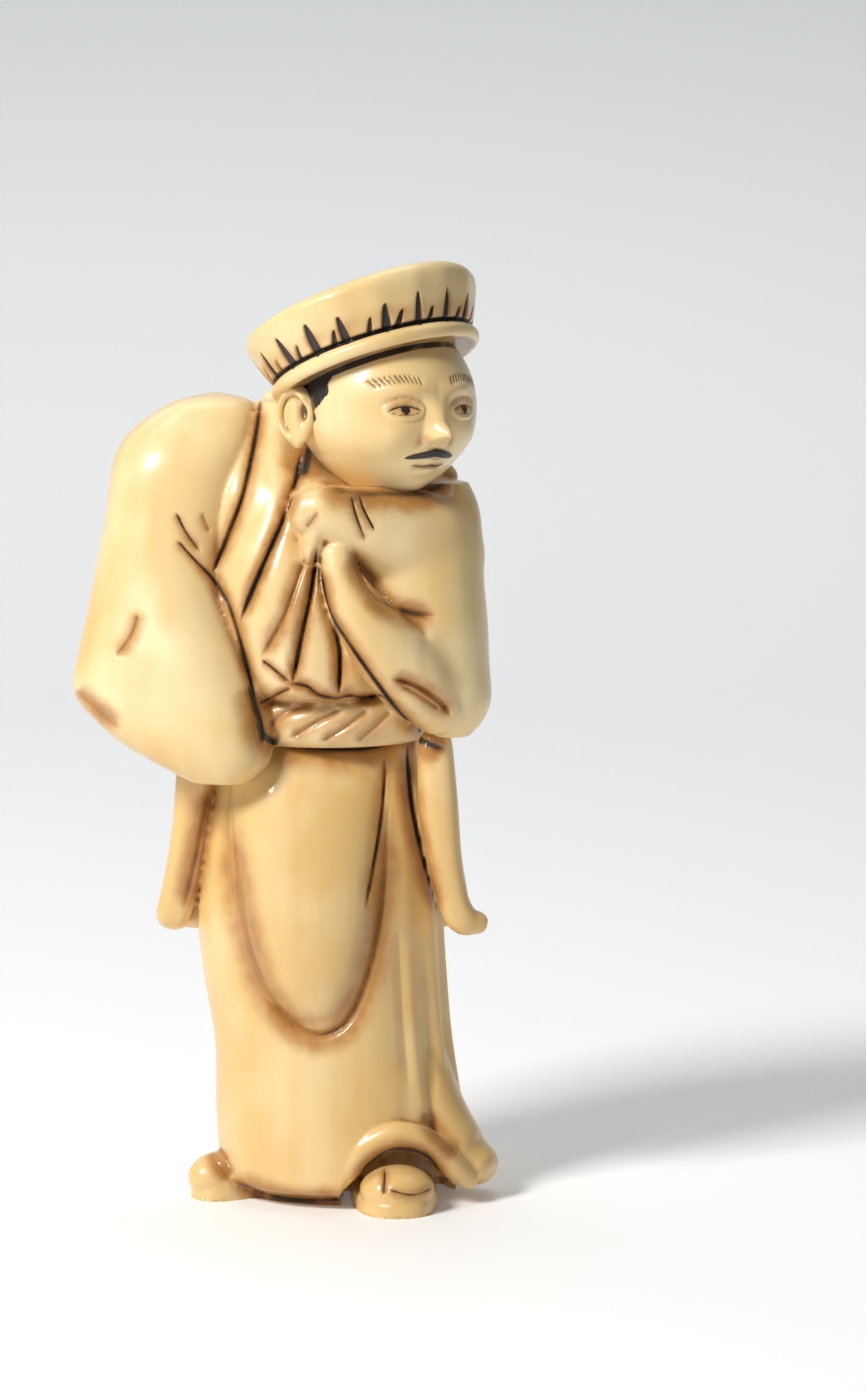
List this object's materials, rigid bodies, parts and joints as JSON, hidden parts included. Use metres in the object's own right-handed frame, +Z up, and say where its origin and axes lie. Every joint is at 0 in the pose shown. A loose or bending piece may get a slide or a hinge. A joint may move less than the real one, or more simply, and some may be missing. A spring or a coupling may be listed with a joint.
{
  "type": "netsuke",
  "caption": "Netsuke carved as a stooping man in a wide-sleeved robe and a flat cap, a hand gripping the robe at the chest, with cord holes in the back.",
  "frame": {"origin": "on the flat underside, below the middle of the robe's hem", "axes": "+Z up along the figure's height, -Y the front that the picture shows, +X towards the right of someone who looks at that front"},
  "size_m": [0.0409, 0.03, 0.0903],
  "materials": {
    "ivory": "polished"
  },
  "bodies": {
    "root": {"figure": "ivory"}
  },
  "joints": []
}
